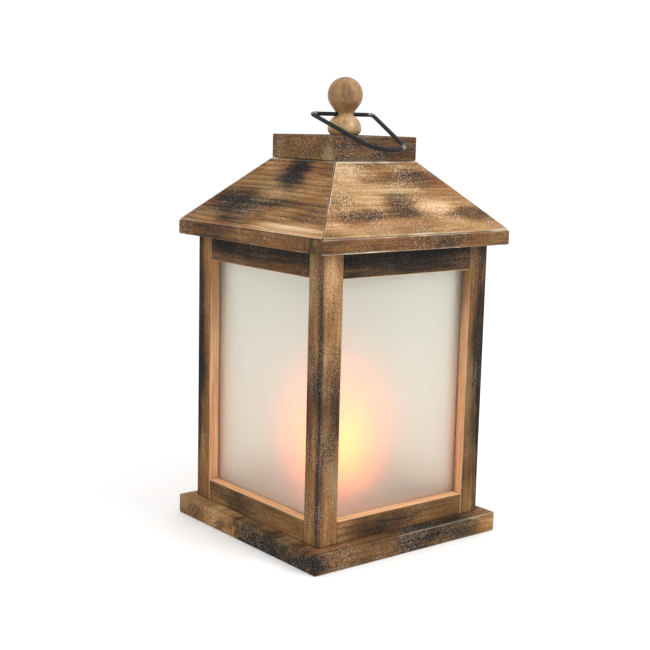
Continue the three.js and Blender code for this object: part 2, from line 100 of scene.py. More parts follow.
soft_light("key_light", (0.55, -1.5, 1.3), 0.9, 16)
soft_light("fill_light", (-1.6, -0.4, 0.9), 1.2, 5)

bpy.ops.object.select_all(action="DESELECT")
bpy.ops.mesh.primitive_plane_add(size=14, location=(0, 0, 0))
floor = bpy.context.object
floor.name = "floor"
floor_material = bpy.data.materials.new("floor")
floor_material.use_nodes = True
floor_shader = floor_material.node_tree.nodes["Principled BSDF"]
floor_shader.inputs["Base Color"].default_value = (0.98, 0.98, 0.98, 1)
floor_shader.inputs["Roughness"].default_value = 0.9
floor.data.materials.append(floor_material)

# ---------------------------------------------------------------------------------------------
# Base board. A thick square softwood board, torched and brushed until the grain shows dark,
# then sanded along its arrises. A rectangular hole takes the light housing from below.
# ---------------------------------------------------------------------------------------------


def tint(red, green, blue):
    """A colour given as it looks on a screen, as linear values."""
    shares = [value / 255 for value in (red, green, blue)]
    return (*[s / 12.92 if s < 0.04 else ((s + 0.055) / 1.055) ** 2.4 for s in shares], 1.0)


class Wire:
    """A socket in a material. Sums on it add Math nodes."""

    def __init__(self, tree, socket):
        self.tree = tree
        self.socket = socket

    def node(self, kind, settings=None, inputs=None, output=0):
        made = self.tree.nodes.new(kind)
        for key, value in (settings or {}).items():
            if key == "stops":
                ramp = made.color_ramp.elements
                while len(ramp) < len(value):
                    ramp.new(0.5)
                for element, (position, colour) in zip(ramp, value):
                    element.position = position
                    element.color = colour
            else:
                setattr(made, key, value)
        for key, value in (inputs or {}).items():
            if isinstance(value, Wire):
                self.tree.links.new(value.socket, made.inputs[key])
            else:
                made.inputs[key].default_value = value
        return Wire(self.tree, made.outputs[output] if len(made.outputs) else None)

    def sum(self, operation, *terms):
        inputs = {place: term for place, term in enumerate(terms)}
        return self.node("ShaderNodeMath", {"operation": operation}, inputs)

    def __add__(self, other):
        return self.sum("ADD", self, other)

    def __radd__(self, other):
        return self.sum("ADD", other, self)

    def __sub__(self, other):
        return self.sum("SUBTRACT", self, other)

    def __rsub__(self, other):
        return self.sum("SUBTRACT", other, self)

    def __mul__(self, other):
        return self.sum("MULTIPLY", self, other)

    def __rmul__(self, other):
        return self.sum("MULTIPLY", other, self)

    def __truediv__(self, other):
        return self.sum("DIVIDE", self, other)

    def __pow__(self, other):
        return self.sum("POWER", self, other)

    def least(self, other):
        return self.sum("MINIMUM", self, other)

    def most(self, other):
        return self.sum("MAXIMUM", self, other)

    def fraction(self):
        return self.sum("FRACT", self)

    def size(self):
        return self.sum("ABSOLUTE", self)

    def rise(self, start, end):
        """From 0 at one value to 1 at another, smoothly."""
        inputs = {"Value": self, "From Min": start, "From Max": end}
        return self.node("ShaderNodeMapRange", {"interpolation_type": "SMOOTHSTEP"}, inputs)

    def parts(self):
        made = self.tree.nodes.new("ShaderNodeSeparateXYZ")
        self.tree.links.new(self.socket, made.inputs[0])
        return [Wire(self.tree, made.outputs[axis]) for axis in "XYZ"]

    def vector(self, operation, other):
        return self.node("ShaderNodeVectorMath", {"operation": operation}, {0: self, 1: other})

    def stretched(self, x, y, z):
        return self.vector("MULTIPLY", (x, y, z))

    def noise(self, scale, detail=2.0, roughness=0.5):
        inputs = {"Vector": self, "Scale": scale, "Detail": detail, "Roughness": roughness}
        return self.node("ShaderNodeTexNoise", {}, inputs)

    def length(self):
        return self.node("ShaderNodeVectorMath", {"operation": "LENGTH"}, {0: self}, output=1)

    def ramp(self, stops):
        """The colour at this value on a scale of (position, colour) stops."""
        return self.node("ShaderNodeValToRGB", {"stops": stops}, {0: self})

    def blend(self, first, second):
        """The first colour where this value is 0, and the second where it is 1."""
        inputs = {0: self, 6: first, 7: second}
        return self.node("ShaderNodeMix", {"data_type": "RGBA"}, inputs, output=2)

    def mixed(self, amount, other):
        """This colour, with another over it."""
        return amount.blend(self, other)


def new_material(name):
    """An empty material and the object coordinates in it."""
    material = bpy.data.materials.new(name)
    material.use_nodes = True
    tree = material.node_tree
    tree.nodes.clear()
    coordinates = tree.nodes.new("ShaderNodeTexCoord")
    return material, Wire(tree, coordinates.outputs["Object"])


def surfaced(place, **inputs):
    """Ends a material in one Principled shader with these inputs, underscores for spaces."""
    named = {key.replace("_", " "): value for key, value in inputs.items()}
    shader = place.node("ShaderNodeBsdfPrincipled", {}, named)
    place.node("ShaderNodeOutputMaterial", {}, {"Surface": shader})


def bumped(place, height, depth, strength=1.0):
    inputs = {"Height": height, "Distance": depth, "Strength": strength}
    return place.node("ShaderNodeBump", {}, inputs)


ALONG_X = (0, 0, 0)
ALONG_Y = (0, 0, math.radians(-90))
ALONG_Z = (0, math.radians(90), 0)

torched_tones = [
    (0.00, tint(31, 27, 25)),
    (0.16, tint(52, 38, 26)),
    (0.34, tint(82, 57, 33)),
    (0.50, tint(112, 79, 44)),
    (0.66, tint(147, 109, 67)),
    (0.82, tint(185, 147, 102)),
    (1.00, tint(216, 184, 144)),
]
sanded_pale = tint(232, 216, 190)
ash_white = tint(226, 218, 206)
moss = tint(128, 118, 82)
russet = tint(134, 78, 42)
unburnt = (tint(194, 147, 105), tint(234, 192, 148))


def from_arris(place, low, high):
    """How far a point on a box is from the nearest of its edges."""
    to_sides = [(p - a).least(b - p) for p, a, b in zip(place.parts(), low, high)]
    a, b, c = to_sides
    return a.least(b).most(a.most(b).least(c))


def torched_wood(name, centre, turn, heart, edge, seed=0, tone=0.5, cloud=0.9, streak=0.5, line=0.05,
                 rings=0.004, band=0.0, grit=0.7, wild=0.022, frost=0.25, wear=0.2, green=0.3, red=0.28,
                 patches=(), fresh=None):
    """Softwood with its grain turned to X and its heart at (across, deep) from the board's
    centre. Each patch is a centre, a reach along X, Y and Z, and how much lighter it is. The
    flame never met what a fresh test picks."""
    material, place = new_material(name)
    from_centre = place.vector("SUBTRACT", centre)
    grain = place.node("ShaderNodeMapping", {}, {"Vector": from_centre, "Rotation": turn})
    along, across, deep = grain.parts()
    own = grain.vector("ADD", (0.31 * seed, 0.17 * seed, 0.23 * seed))
    wander = own.stretched(9, 22, 22).noise(1.0, 2.0)
    drift = own.stretched(6, 14, 14).noise(1.3, 1.0)
    u = across - heart[0] + (wander - 0.5) * wild
    v = deep - heart[1] + (drift - 0.5) * wild
    fibre = own.stretched(20, 500, 500).noise(1.0, 4.0, 0.65)
    from_heart = (u * u + v * v) ** 0.5 / rings + (fibre - 0.5) * 0.4
    growth = from_heart.fraction()
    late = growth ** 3.0 * (1.0 - growth.rise(0.9, 1.0))
    soft = own.stretched(7, 75, 75).noise(1.0, 3.0, 0.55)
    soot = own.stretched(15, 38, 38).noise(1.0, 4.0, 0.6)
    speck = place.noise(1150, 2.0, 0.7)
    dust = place.noise(38, 3.0).rise(0.42, 0.64)
    level = (soot - 0.5) * cloud + (soft - 0.5) * streak + (fibre - 0.5) * 0.55 - late * line + tone
    level = level + (speck - 0.5) * (dust * 0.6 + 0.4) * grit
    if band:
        level = level + (from_heart * 1.9).sum("SINE") * band
    ragged = (soot - 0.5) * 1.1 + (soft - 0.5) * 1.7 + (fibre - 0.5) * 0.7
    for middle, reach, strength in patches:
        near = place.vector("SUBTRACT", middle).stretched(*[1 / r for r in reach])
        level = level + (near.length() + ragged).rise(1.35, 0.3) * strength
    colour = level.ramp(torched_tones)
    greening = own.vector("ADD", (4.0, 1.0, 2.0)).stretched(14, 45, 45).noise(1.0, 3.0)
    unscorched = level.rise(0.05, 0.5)
    colour = colour.mixed(greening.rise(0.5, 0.72) * unscorched * green, moss)
    reddening = own.vector("ADD", (7.0, 3.0, 5.0)).stretched(10, 60, 60).noise(1.0, 3.0)
    colour = colour.mixed(reddening.rise(0.48, 0.68) * unscorched * red, russet)
    flour = speck.rise(0.5, 0.72) * (dust * 0.65 + 0.35) * frost
    colour = colour.mixed(flour, ash_white)
    rubbed = (edge(place) + (speck - 0.5) * 0.0018 + (soot - 0.5) * 0.003).rise(0.0010, 0.0001)
    colour = colour.mixed(rubbed * (dust * 0.7 + 0.3) * wear, sanded_pale)
    if fresh:
        colour = colour.mixed(fresh(place), fibre.rise(0.3, 0.7).blend(*unburnt))
    height = fibre * 0.6 - late * 0.4 + speck * 0.5
    surfaced(
        place,
        Base_Color=colour,
        Roughness=0.88 - level * 0.16,
        Specular_IOR_Level=0.12,
        Normal=bumped(place, height, 0.0006, 0.5),
    )
    return material


def select_only(piece):
    bpy.ops.object.select_all(action="DESELECT")
    bpy.context.view_layer.objects.active = piece
    piece.select_set(True)


def merged_copy(node, name):
    """A copy of a CAD node with its loose triangles joined into clean faces, in edit mode."""
    piece = bpy.data.objects.new(name, frame["nodes"][node].data.copy())
    bpy.context.scene.collection.objects.link(piece)
    piece.data.materials.clear()
    select_only(piece)
    bpy.ops.object.mode_set(mode="EDIT")
    bpy.ops.mesh.select_mode(type="EDGE")
    bpy.ops.mesh.select_all(action="SELECT")
    bpy.ops.mesh.remove_doubles(threshold=0.00001)
    bpy.ops.mesh.dissolve_limited(angle_limit=math.radians(1))
    bpy.ops.mesh.select_all(action="DESELECT")
    return piece


def round_edges(piece, chosen, radius, segments=3):
    """Rounds the edges that a test picks, and leaves edit mode with even shading."""
    mesh = bmesh.from_edit_mesh(piece.data)
    for edge in mesh.edges:
        edge.select = chosen(edge)
    bmesh.update_edit_mesh(piece.data)
    bpy.ops.mesh.bevel(offset=radius, segments=segments, affect="EDGES", clamp_overlap=True)
    bpy.ops.object.mode_set(mode="OBJECT")
    even_shading(piece)


def even_shading(piece, angle=35):
    bpy.ops.object.shade_smooth_by_angle(angle=math.radians(angle))
    weighted = piece.modifiers.new("weighted", "WEIGHTED_NORMAL")
    weighted.keep_sharp = True
    bpy.ops.object.modifier_apply(modifier="weighted")


def on_box_edge(low, high):
    """A test for the edges that lie along the edges of a box."""
    def chosen(edge):
        faces = 0
        for axis in range(3):
            for limit in (low[axis], high[axis]):
                faces += all(abs(corner.co[axis] - limit) < 0.00005 for corner in edge.verts)
        return faces == 2
    return chosen


def fitted(piece, material, slot, body, *nodes):
    """Gives a finished piece its material and body, and hides the CAD nodes it stands for. The slot is not
    used.
    """
    piece.data.materials.clear()
    piece.data.materials.append(material)
    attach(piece, body)
    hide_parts(*nodes)


def wooden(node, turn, heart, arris=0.0009, **looks):
    """A box-shaped board from a CAD node, with rounded arrises and its own torched grain."""
    low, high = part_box(node)
    piece = merged_copy(node, node + "_torched")
    round_edges(piece, on_box_edge(low, high), arris)
    past_ends = Vector([0.1 * (turn == way) for way in (ALONG_X, ALONG_Y, ALONG_Z)])
    material = torched_wood(
        node + "_wood", (low + high) / 2, turn, heart,
        lambda place: from_arris(place, low - past_ends, high + past_ends), **looks
    )
    fitted(piece, material, "torched_wood", "lantern", node)
    return piece


base_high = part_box("base_board")[1]
reach = base_high.x
base_middle = base_high.z / 2
wooden(
    "base_board", ALONG_X, (0.02, -0.045), arris=0.0012, seed=1, tone=0.51, frost=0.35, wear=0.35,
    green=0.4, red=0.5,
    patches=[
        ((-reach, -0.040, base_middle), (0.012, 0.065, 0.02), -0.42),
        ((-reach + 0.008, 0.0, base_high.z), (0.012, 0.2, 0.004), 0.16),
        ((0.0, -reach, base_middle), (0.2, 0.008, 0.03), -0.22),
        ((-0.046, -reach, base_middle), (0.036, 0.012, 0.008), 0.12),
        ((0.012, -reach, base_middle), (0.026, 0.014, 0.011), -0.24),
        ((reach - 0.006, -reach, base_middle), (0.018, 0.012, 0.014), 0.30),
    ],
)

# ---------------------------------------------------------------------------------------------
# Corner posts. Four square sticks, grooved for the panes on their inner sides and screwed
# from below, with the grain upright. The torch never reached their inner sides, which darken
# towards the top as painted shade.
# ---------------------------------------------------------------------------------------------

post_low, post_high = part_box("corner_post_front_left")
outer = -post_low.x
post_inner = -post_high.x


def towards_window(place):
    """The sides of a post that face the two panes beside it."""
    x, y, z = place.parts()
    inner_side = x.size().least(y.size()).rise(post_inner + 0.0006, post_inner + 0.0001)
    # Painted shade: the inner sides darken towards the top.
    painted_top_shade = (z + (place.stretched(30, 30, 9).noise(1.0, 3.0) - 0.5) * 0.12).rise(0.130, 0.205)
    return inner_side * (0.92 - painted_top_shade * 0.75)


wooden(
    "corner_post_front_left", ALONG_Z, (0.03, 0.02), seed=2, tone=0.46, cloud=1.0, frost=0.3, wear=0.12,
    fresh=towards_window, green=0.6,
    patches=[
        ((-outer, -outer + 0.002, 0.115), (0.0018, 0.0042, 0.14), -0.36),
        ((-outer + 0.008, -outer, 0.19), (0.012, 0.005, 0.05), 0.20),
        ((-outer + 0.006, -outer, 0.12), (0.010, 0.006, 0.05), -0.12),
        ((-outer + 0.010, -outer, 0.04), (0.012, 0.008, 0.035), 0.14),
        ((-outer, -outer + 0.012, 0.12), (0.005, 0.006, 0.05), -0.16),
    ],
)
wooden(
    "corner_post_front_right", ALONG_Z, (-0.02, 0.03), seed=3, tone=0.42, frost=0.15, wear=0.1,
    fresh=towards_window, patches=[((outer, -outer, 0.12), (0.008, 0.006, 0.13), -0.38)],
)
wooden(
    "corner_post_back_left", ALONG_Z, (0.025, -0.02), seed=4, tone=0.40, frost=0.12, wear=0.1,
    fresh=towards_window,
    patches=[
        ((-outer, outer, 0.15), (0.006, 0.008, 0.11), -0.36),
        ((-outer, outer - 0.012, 0.04), (0.006, 0.006, 0.04), 0.12),
    ],
)
wooden(
    "corner_post_back_right", ALONG_Z, (-0.03, -0.015), seed=5, tone=0.45, wear=0.1, fresh=towards_window,
)

# ---------------------------------------------------------------------------------------------
# Rails. A bottom and a top rail between each two posts, glued in, with a groove along the
# inner edge for the pane. The top ones carry painted shade under the eaves, a darker tone and a dark
# patch along their top, and the sides towards the window are clean wood.
# ---------------------------------------------------------------------------------------------

turns = {"front": ALONG_X, "back": ALONG_X, "left": ALONG_Y, "right": ALONG_Y}
# The second tone of each pair, for the top rail, is lower as painted shade under the eaves.
rail_tones_and_eave_shade = {"front": (0.45, 0.27), "right": (0.46, 0.34), "back": (0.44, 0.33), "left": (0.49, 0.32)}
bottom_rail_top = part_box("bottom_rail_front")[1].z
top_rail_low, top_rail_high = [corner.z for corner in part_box("top_rail_front")]
rail_patches = {
    "bottom_rail_front": [
        ((-0.018, -outer, 0.021), (0.036, 0.01, 0.008), -0.24),
        ((-0.052, -outer, 0.021), (0.014, 0.01, 0.012), 0.16),
    ],
    "bottom_rail_left": [((-outer, 0.02, 0.020), (0.01, 0.02, 0.010), -0.16)],
}


def ledge(place):
    """The narrow level side of a rail that faces the window."""
    x, y, z = place.parts()
    low_one = z.rise(bottom_rail_top - 0.0006, bottom_rail_top - 0.0001) * z.rise(0.12, 0.11)
    high_one = z.rise(top_rail_low + 0.0006, top_rail_low + 0.0001) * z.rise(0.11, 0.12)
    return low_one + high_one


for order, side in enumerate(turns):
    sideways = {"front": (0, -outer), "back": (0, outer), "left": (-outer, 0), "right": (outer, 0)}[side]
    # Painted shade: a dark patch along the top of each top rail, under the eaves.
    painted_eave_shade = ((*sideways, top_rail_high), (0.09, 0.09, 0.017), -0.24)
    for level, tone in zip(("bottom", "top"), rail_tones_and_eave_shade[side]):
        node = f"{level}_rail_{side}"
        wooden(
            node, turns[side], (0.012, -0.03), seed=10 + 2 * order + (level == "top"), tone=tone,
            cloud=0.7, frost=0.15, wear=0.08, fresh=ledge,
            patches=[painted_eave_shade] if level == "top" else rail_patches.get(node, ()),
        )

# ---------------------------------------------------------------------------------------------
# Panes. Four sheets of frosted acrylic, slid into the grooves. They scatter what passes through
# them, so the flame shows as a soft glow, and look milky from outside.
# ---------------------------------------------------------------------------------------------

pane_material, place = new_material("frosted_acrylic")
milk = place.node("ShaderNodeBsdfPrincipled", {}, {
    "Base Color": place.noise(16, 2.0).blend(tint(219, 224, 215), tint(227, 230, 223)),
    "Roughness": 0.5,
    "Specular IOR Level": 0.3,
    "Normal": bumped(place, place.noise(1500, 2.0), 0.00005, 0.3),
})
through = place.node("ShaderNodeBsdfTranslucent", {}, {"Color": tint(231, 233, 223)})
blurred = place.node("ShaderNodeBsdfPrincipled", {}, {
    "Base Color": tint(243, 246, 240),
    "Roughness": 0.6,
    "Transmission Weight": 1.0,
    "IOR": 1.4,
})
body = place.node("ShaderNodeMixShader", {}, {0: 0.3, 1: milk, 2: through})
whole = place.node("ShaderNodeMixShader", {}, {0: 0.85, 1: body, 2: blurred})
place.node("ShaderNodeOutputMaterial", {}, {"Surface": whole})

for side in turns:
    node = f"pane_{side}"
    pane = merged_copy(node, f"frosted_pane_{side}")
    round_edges(pane, on_box_edge(*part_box(node)), 0.0003, 2)
    fitted(pane, pane_material, "frosted_pane", "lantern", node)

# ---------------------------------------------------------------------------------------------
# Eave strips. Four flat strips on top of the posts and rails. The front and back ones run the
# full width and show their ends at the sides.
# ---------------------------------------------------------------------------------------------

eave_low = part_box("eave_strip_front")[0]
eave_tones = {"front": 0.41, "back": 0.42, "left": 0.31, "right": 0.40}
eave_wear = {"front": 0.9, "back": 0.5, "left": 0.25, "right": 0.4}
eave_patches = {
    "front": [
        ((0.02, eave_low.y, 0.221), (0.03, 0.01, 0.006), -0.14),
        ((eave_low.x, eave_low.y + 0.012, 0.221), (0.006, 0.004, 0.009), -0.2),
    ],
    "left": [((eave_low.x, 0.03, 0.221), (0.01, 0.03, 0.007), -0.08)],
}
for order, side in enumerate(turns):
    wooden(
        f"eave_strip_{side}", turns[side], (0.004, -0.035), arris=0.0010, seed=20 + order,
        tone=eave_tones[side], cloud=0.7, frost=0.25, wear=eave_wear[side],
        patches=eave_patches.get(side, ()),
    )

# ---------------------------------------------------------------------------------------------
# Roof boards. Four boards at the same slope, mitred along the hips and glued to the eave strips
# and to each other. They took the torch most, so their figure is the strongest.
# ---------------------------------------------------------------------------------------------

roof_low, roof_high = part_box("roof_board_front")
cap_low, cap_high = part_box("cap_block")
foot = -roof_low.y
head = -cap_low.y + 0.0008
slope = math.atan2(roof_high.z - roof_low.z, foot - head)


def roof_edge(side):
    """How far a point of a roof board is from its hips, foot and head."""
    def edge(place):
        x, y, z = place.parts()
        out, sideways = {"front": (-1 * y, x), "back": (y, x), "left": (-1 * x, y), "right": (x, y)}[side]
        hip = (out - sideways.size()) * 0.7071
        return hip.least(z - roof_low.z).least(roof_high.z - z)
    return edge


roof_looks = {
    "front": dict(
        heart=(0.012, -0.030), seed=31, tone=0.65, wild=0.06, cloud=0.7, frost=0.55, rings=0.0052, wear=0.7,
        line=0.08, band=0.10, red=0.45, grit=1.6,
        patches=[
            ((-0.038, -0.043, 0.2686), (0.018, 0.014, 0.012), 0.20),
            ((0.016, -0.050, 0.261), (0.042, 0.011, 0.0075), -0.38),
            ((-0.030, -0.062, 0.249), (0.020, 0.010, 0.006), 0.16),
            ((-0.049, -0.074, 0.238), (0.020, 0.011, 0.006), -0.34),
            ((-0.003, -0.067, 0.246), (0.014, 0.014, 0.010), -0.32),
            ((0.028, -0.068, 0.244), (0.018, 0.009, 0.006), 0.18),
            ((0.058, -0.075, 0.238), (0.018, 0.009, 0.007), -0.28),
        ]),
    "left": dict(
        heart=(0.055, -0.012), seed=32, tone=0.55, wild=0.016, cloud=0.8, frost=0.3, rings=0.0046, wear=0.3,
        line=0.26, red=0.45, green=0.2, grit=1.0,
        patches=[
            ((-0.046, -0.003, 0.266), (0.020, 0.016, 0.018), -0.55),
            ((-0.055, -0.012, 0.257), (0.012, 0.014, 0.010), -0.26),
            ((-0.0715, 0.022, 0.2405), (0.020, 0.050, 0.012), -0.46),
            ((-0.0835, -0.050, 0.2285), (0.012, 0.055, 0.006), 0.46),
            ((-0.081, 0.056, 0.231), (0.008, 0.020, 0.006), 0.14),
            ((-0.0465, 0.0275, 0.265), (0.012, 0.012, 0.010), 0.14),
        ]),
    "back": dict(heart=(0.010, -0.035), seed=33, tone=0.58, wild=0.045, cloud=0.9, frost=0.5, rings=0.0050,
                 line=0.10, band=0.09, wear=0.5, red=0.5),
    "right": dict(heart=(0.030, -0.020), seed=34, tone=0.60, wild=0.03, cloud=0.9, frost=0.5, rings=0.0048,
                  line=0.16, band=0.05, wear=0.5, red=0.5),
}
for order, side in enumerate(("front", "right", "back", "left")):
    node = f"roof_board_{side}"
    low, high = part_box(node)
    quarter = math.radians(90) * order
    flat = Euler((-slope, 0, 0)).to_matrix() @ Euler((0, 0, -quarter)).to_matrix()
    piece = merged_copy(node, node + "_torched")
    round_edges(piece, lambda edge: edge.calc_face_angle(0) > math.radians(20), 0.0005)
    material = torched_wood(
        node + "_wood", (low + high) / 2, flat.to_euler(), edge=roof_edge(side), **roof_looks[side]
    )
    fitted(piece, material, "torched_wood", "lantern", node)

# ---------------------------------------------------------------------------------------------
# Cap block. A square block glued over the roof's open top, with its grain along the front.
# ---------------------------------------------------------------------------------------------

wooden(
    "cap_block", ALONG_X, (0.01, -0.03), arris=0.0009, seed=40, tone=0.37, cloud=0.7, line=0.18, rings=0.0040,
    frost=0.45, wear=0.2, green=0.8,
    patches=[
        ((0.0, cap_low.y, 0.283), (0.2, 0.006, 0.03), -0.12),
        ((cap_low.x, 0.0, 0.283), (0.004, 0.05, 0.02), 0.06),
        ((-0.02, cap_low.y, 0.277), (0.02, 0.01, 0.006), 0.10),
    ],
)

# ---------------------------------------------------------------------------------------------
# Finial. A knob turned from one piece of pale softwood, a ball over a waist and a domed foot,
# lacquered and screwed to the cap block from inside. Its waist is drilled for the bail.
# ---------------------------------------------------------------------------------------------


def turned(name, profile, sides=64, middle=(0, 0)):
    """A piece spun about an upright axis from (radius, height) points, closed on itself."""
    bpy.ops.object.select_all(action="DESELECT")
    bpy.ops.mesh.primitive_plane_add(size=0.001, location=(0, 0, 0))
    piece = bpy.context.object
    piece.name = name
    bpy.ops.object.mode_set(mode="EDIT")
    bpy.ops.mesh.select_mode(type="VERT")
    bpy.ops.mesh.select_all(action="SELECT")
    bpy.ops.mesh.merge(type="CENTER")
    at = Vector((0, 0, 0))
    for order, (radius, height) in enumerate(profile):
        step = Vector((radius, 0, height)) - at
        at += step
        if order == 0:
            bpy.ops.transform.translate(value=step)
        else:
            bpy.ops.mesh.extrude_vertices_move(TRANSFORM_OT_translate={"value": step})
    bpy.ops.mesh.select_all(action="SELECT")
    bpy.ops.mesh.spin(steps=sides, angle=math.tau, center=(0, 0, 0), axis=(0, 0, 1))
    bpy.ops.mesh.select_all(action="SELECT")
    bpy.ops.mesh.remove_doubles(threshold=0.000002)
    bpy.ops.mesh.normals_make_consistent(inside=False)
    bpy.ops.transform.translate(value=(*middle, 0))
    bpy.ops.object.mode_set(mode="OBJECT")
    return piece


def arc(centre_height, across, tall, start, end, steps):
    """Points of an upright ellipse's arc about the axis, between two angles in degrees."""
    angles = [math.radians(start + (end - start) * i / steps) for i in range(steps + 1)]
    return [(across * math.cos(a), centre_height + tall * math.sin(a)) for a in angles]


def cut_by(piece, tool):
    """Cuts a tool's shape out of a piece, then removes the tool."""
    select_only(piece)
    cutter = piece.modifiers.new("cut", "BOOLEAN")
    cutter.operation = "DIFFERENCE"
    cutter.solver = "EXACT"
    cutter.object = tool
    bpy.ops.object.modifier_apply(modifier="cut")
    bpy.data.objects.remove(tool)


bail_joint = next(joint for joint in frame["joints"] if joint["name"] == "bail_swing")
pivot = Vector(bail_joint["pos_m"])
bail_turn = math.atan2(-bail_joint["axis"][1], -bail_joint["axis"][0])

finial_low, finial_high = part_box("finial")
ball_radius = 0.0128
ball_middle = finial_high.z - ball_radius
neck_radius = 0.0064
dome_radius = 0.0123
dome_middle = cap_high.z + 0.0045
dome_rise = 0.0115
dome_tuck = 0.007
cross_hole_radius = 0.0019
neck_angle = math.degrees(math.acos(neck_radius / dome_radius))
tuck_angle = math.degrees(math.asin((dome_middle - finial_low.z) / dome_tuck))

finial = turned("turned_finial", [
    (0, finial_low.z),
    *arc(dome_middle, dome_radius, dome_tuck, -tuck_angle, 0, 6),
    *arc(dome_middle, dome_radius, dome_rise, neck_angle / 12, neck_angle, 11),
    (neck_radius, cap_high.z + 0.0150),
    (neck_radius + 0.0001, cap_high.z + 0.0161),
    *arc(ball_middle, ball_radius, ball_radius, -38, 88, 26),
    (0, finial_high.z),
])
bpy.ops.mesh.primitive_cylinder_add(
    vertices=32, radius=cross_hole_radius, depth=0.03, location=pivot,
    rotation=(0, math.radians(90), bail_turn),
)
cut_by(finial, bpy.context.object)
even_shading(finial, 50)

finial_wood, place = new_material("turned_softwood")
streak = place.stretched(420, 420, 26).noise(1.0, 3.0, 0.6)
broad = place.stretched(110, 110, 20).noise(1.0, 2.0)
x, y, z = place.parts()
bands = ((x * 0.8 + y * 0.6 + (broad - 0.5) * 0.004) * 620).sum("SINE")
paler = z.rise(cap_high.z + 0.019, cap_high.z + 0.013) * 0.32
soiled = place.stretched(70, 70, 60).noise(1.0, 3.0).rise(0.45, 0.7) * 0.3
depth = (streak - 0.5) * 0.6 + (broad - 0.5) * 0.7 + bands * 0.08 + 0.42 + paler - soiled
finial_colour = depth.ramp([
    (0.0, tint(70, 46, 28)),
    (0.3, tint(118, 84, 54)),
    (0.55, tint(152, 116, 73)),
    (0.8, tint(189, 156, 114)),
    (1.0, tint(210, 180, 138)),
])
reddish = place.stretched(170, 170, 16).noise(1.0, 2.0).rise(0.5, 0.7) * 0.35
surfaced(
    place,
    Base_Color=finial_colour.mixed(reddish, tint(132, 78, 54)),
    Roughness=0.55 - depth * 0.1,
    Specular_IOR_Level=0.3,
    Coat_Weight=0.2,
    Normal=bumped(place, streak, 0.0003, 0.3),
)
fitted(finial, finial_wood, "turned_wood", "lantern", "finial")

# ---------------------------------------------------------------------------------------------
# Bail. One length of 3 mm steel wire, bent to a rounded loop whose ends enter the finial's
# cross hole from both sides, and painted satin black. At the bends the paint is rubbed through
# to pale bare steel, which also serves as a painted highlight.
# ---------------------------------------------------------------------------------------------

wire_radius = 0.0015
pivot_half = 0.025
end_half = 0.0128
bail_reach = 0.0775
pivot_corner = 0.0035
end_corner = 0.0124
bail_slide = -0.0022
rest_drop = math.radians(17.4)
leg = Vector((end_half - pivot_half, bail_reach)).normalized()
corner_a = Vector((pivot_half, 0))
corner_b = Vector((end_half, bail_reach))
half_loop = [
    (Vector((0.0004, 0)), None),
    (Vector((pivot_half - pivot_corner, 0)), corner_a),
    (corner_a + leg * pivot_corner, corner_a),
    (corner_b - leg * end_corner, corner_b),
    (Vector((end_half - end_corner, bail_reach)), corner_b),
]
loop = half_loop + [
    (Vector((-point.x, point.y)), bend and Vector((-bend.x, bend.y))) for point, bend in reversed(half_loop)
]
curve = bpy.data.curves.new("bail_path", "CURVE")
curve.dimensions = "3D"
curve.resolution_u = 14
curve.bevel_depth = wire_radius
curve.bevel_resolution = 7
curve.use_fill_caps = True
spline = curve.splines.new("BEZIER")
spline.bezier_points.add(len(loop) - 1)
starts_bend = [False, True, False, True, False, True, False, True, False, False]
for order, (point, bend) in enumerate(loop):
    knot = spline.bezier_points[order]
    knot.handle_left_type = knot.handle_right_type = "FREE"
    knot.co = (point.x, -point.y, 0)
    before = loop[order - 1][0] if order else point
    after = loop[order + 1][0] if order < len(loop) - 1 else point
    towards_after = (bend if starts_bend[order] else after) - point
    towards_before = (bend if bend and not starts_bend[order] else before) - point
    right = point + towards_after * (2 / 3 if starts_bend[order] else 1 / 3)
    left = point + towards_before * (2 / 3 if bend and not starts_bend[order] else 1 / 3)
    knot.handle_right = (right.x, -right.y, 0)
    knot.handle_left = (left.x, -left.y, 0)
to_rest = (
    Matrix.Translation(pivot)
    @ Matrix.Rotation(bail_turn, 4, "Z")
    @ Matrix.Rotation(rest_drop, 4, "X")
    @ Matrix.Translation((bail_slide, 0, 0))
)
bail = bpy.data.objects.new("wire_bail", curve)
bpy.context.scene.collection.objects.link(bail)
bail.matrix_world = to_rest
select_only(bail)
bpy.ops.object.convert(target="MESH")
bail = bpy.context.object
bpy.ops.object.transform_apply(location=True, rotation=True, scale=True)
bpy.ops.object.mode_set(mode="EDIT")
bpy.ops.mesh.select_all(action="SELECT")
bpy.ops.mesh.remove_doubles(threshold=0.000002)
bpy.ops.mesh.normals_make_consistent(inside=False)
bpy.ops.object.mode_set(mode="OBJECT")
bpy.ops.object.shade_smooth_by_angle(angle=math.radians(50))

wire_paint, place = new_material("satin_black_wire")
# Painted highlights: pale bare steel at the bends, shown as paint rubbed through.
highlight_and_wear_spots = [
    (pivot_half - 0.001, -0.001),
    (0.001 - pivot_half, -0.001),
    (end_half - 0.002, 0.004 - bail_reach),
]
flake = place.noise(900, 3.0, 0.6)
worn_and_highlight = None
for sideways, out in highlight_and_wear_spots:
    spot = to_rest @ Vector((sideways, out, 0.0012))
    away = place.vector("SUBTRACT", tuple(spot)).length()
    share = (away + (flake - 0.5) * 0.006).rise(0.0042, 0.0016)
    worn_and_highlight = share if worn_and_highlight is None else worn_and_highlight.most(share)
paint = place.noise(260, 2.0).blend(tint(18, 18, 20), tint(36, 36, 38))
surfaced(
    place,
    Base_Color=paint.mixed(worn_and_highlight * 0.8, tint(150, 148, 142)),
    Metallic=worn_and_highlight * 0.9,
    Roughness=0.5 + (flake - 0.5) * 0.2,
    Specular_IOR_Level=0.16,
    Normal=bumped(place, flake, 0.0002, 0.3),
)
fitted(bail, wire_paint, "black_wire", "bail", "bail_ring")

